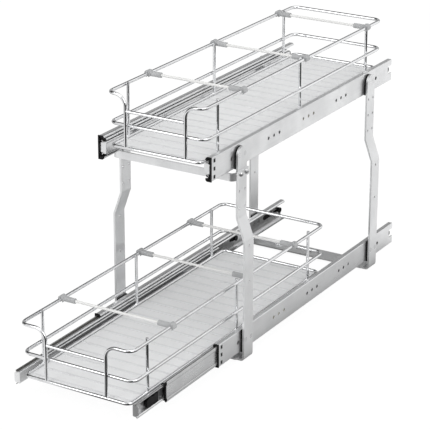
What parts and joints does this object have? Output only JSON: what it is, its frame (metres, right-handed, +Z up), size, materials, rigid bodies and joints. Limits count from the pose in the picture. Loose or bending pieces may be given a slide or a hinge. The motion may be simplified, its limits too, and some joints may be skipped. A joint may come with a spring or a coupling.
{
  "type": "pull out cabinet basket",
  "caption": "Pull-out wire basket unit for a narrow cabinet: bent flat-bar frame, ball-bearing slides, chromed wire baskets with ribbed liners and dividers.",
  "frame": {"origin": "midway between the floor screw holes of the two straps, at the height of the floor", "axes": "+X to the right seen from the front, +Y to the back of the cabinet, +Z up; the baskets pull out along -Y"},
  "size_m": [0.226, 0.765, 0.4017],
  "materials": {
    "zinc_legs": "bright zinc plate on flat bar",
    "zinc_straps": "zinc plate, slightly duller",
    "zinc_slides": "bright zinc plate on rolled sheet",
    "screw_steel": "zinc plated",
    "black_plastic": "moulded, satin",
    "cage_steel": "passivated sheet",
    "ball_steel": "polished",
    "chrome_wire": "polished chrome plate",
    "clear_liner": "translucent, finely ribbed",
    "pale_rod": "smooth, pale",
    "grey_plastic": "moulded, satin"
  },
  "bodies": {
    "frame": {"front_left_leg": "zinc_legs", "front_right_leg": "zinc_legs", "rear_left_leg": "zinc_legs", "rear_right_leg": "zinc_legs", "front_floor_strap": "zinc_straps", "rear_floor_strap": "zinc_straps", "strap_screws": "screw_steel", "front_cross_bar": "zinc_legs", "cross_bar_screws": "screw_steel", "leg_pads": "black_plastic", "slide_rivets": "screw_steel", "upper_left_outer_member": "zinc_slides", "upper_right_outer_member": "zinc_slides", "lower_left_outer_member": "zinc_slides", "lower_right_outer_member": "zinc_slides", "outer_front_retainers": "black_plastic", "outer_rear_stops": "black_plastic"},
    "upper_basket": {"upper_left_inner_member": "zinc_slides", "upper_right_inner_member": "zinc_slides", "upper_release_levers": "black_plastic", "upper_top_rail": "chrome_wire", "upper_mid_loop": "chrome_wire", "upper_base_loop": "chrome_wire", "upper_posts": "chrome_wire", "upper_short_wire": "chrome_wire", "upper_floor_wires": "chrome_wire", "upper_liner": "clear_liner", "upper_divider_rods": "pale_rod", "upper_divider_clips": "grey_plastic", "upper_slide_tabs": "zinc_slides", "upper_tab_screws": "screw_steel"},
    "upper_middle": {"upper_left_middle_member": "zinc_slides", "upper_right_middle_member": "zinc_slides", "upper_middle_caps": "black_plastic"},
    "upper_outer_cage": {"upper_outer_cages": "cage_steel", "upper_outer_balls": "ball_steel"},
    "upper_inner_cage": {"upper_inner_cages": "cage_steel", "upper_inner_balls": "ball_steel"},
    "lower_basket": {"lower_left_inner_member": "zinc_slides", "lower_right_inner_member": "zinc_slides", "lower_release_levers": "black_plastic", "lower_top_rail": "chrome_wire", "lower_mid_loop": "chrome_wire", "lower_base_loop": "chrome_wire", "lower_posts": "chrome_wire", "lower_short_wire": "chrome_wire", "lower_floor_wires": "chrome_wire", "lower_liner": "clear_liner", "lower_divider_rods": "pale_rod", "lower_divider_clips": "grey_plastic", "lower_slide_tabs": "zinc_slides", "lower_tab_screws": "screw_steel"},
    "lower_middle": {"lower_left_middle_member": "zinc_slides", "lower_right_middle_member": "zinc_slides", "lower_middle_caps": "black_plastic"},
    "lower_outer_cage": {"lower_outer_cages": "cage_steel", "lower_outer_balls": "ball_steel"},
    "lower_inner_cage": {"lower_inner_cages": "cage_steel", "lower_inner_balls": "ball_steel"}
  },
  "joints": [
    {"name": "upper_basket_slide", "type": "slide", "parent": "frame", "child": "upper_basket", "axis": [0, -1, 0], "range_m": [0, 0.55]},
    {"name": "upper_middle_slide", "type": "slide", "parent": "frame", "child": "upper_middle", "axis": [0, -1, 0], "range_m": [0, 0.374]},
    {"name": "upper_outer_cage_slide", "type": "slide", "parent": "frame", "child": "upper_outer_cage", "axis": [0, -1, 0], "range_m": [0, 0.187]},
    {"name": "upper_inner_cage_slide", "type": "slide", "parent": "frame", "child": "upper_inner_cage", "axis": [0, -1, 0], "range_m": [0, 0.462]},
    {"name": "lower_basket_slide", "type": "slide", "parent": "frame", "child": "lower_basket", "axis": [0, -1, 0], "range_m": [-0.205, 0.345]},
    {"name": "lower_middle_slide", "type": "slide", "parent": "frame", "child": "lower_middle", "axis": [0, -1, 0], "range_m": [-0.1394, 0.2346]},
    {"name": "lower_outer_cage_slide", "type": "slide", "parent": "frame", "child": "lower_outer_cage", "axis": [0, -1, 0], "range_m": [-0.0697, 0.1173]},
    {"name": "lower_inner_cage_slide", "type": "slide", "parent": "frame", "child": "lower_inner_cage", "axis": [0, -1, 0], "range_m": [-0.1722, 0.2898]}
  ],
  "couplings": [
    {"joint": "upper_middle_slide", "follows": "upper_basket_slide", "ratio": 0.68},
    {"joint": "upper_outer_cage_slide", "follows": "upper_basket_slide", "ratio": 0.34},
    {"joint": "upper_inner_cage_slide", "follows": "upper_basket_slide", "ratio": 0.84},
    {"joint": "lower_middle_slide", "follows": "lower_basket_slide", "ratio": 0.68},
    {"joint": "lower_outer_cage_slide", "follows": "lower_basket_slide", "ratio": 0.34},
    {"joint": "lower_inner_cage_slide", "follows": "lower_basket_slide", "ratio": 0.84}
  ]
}
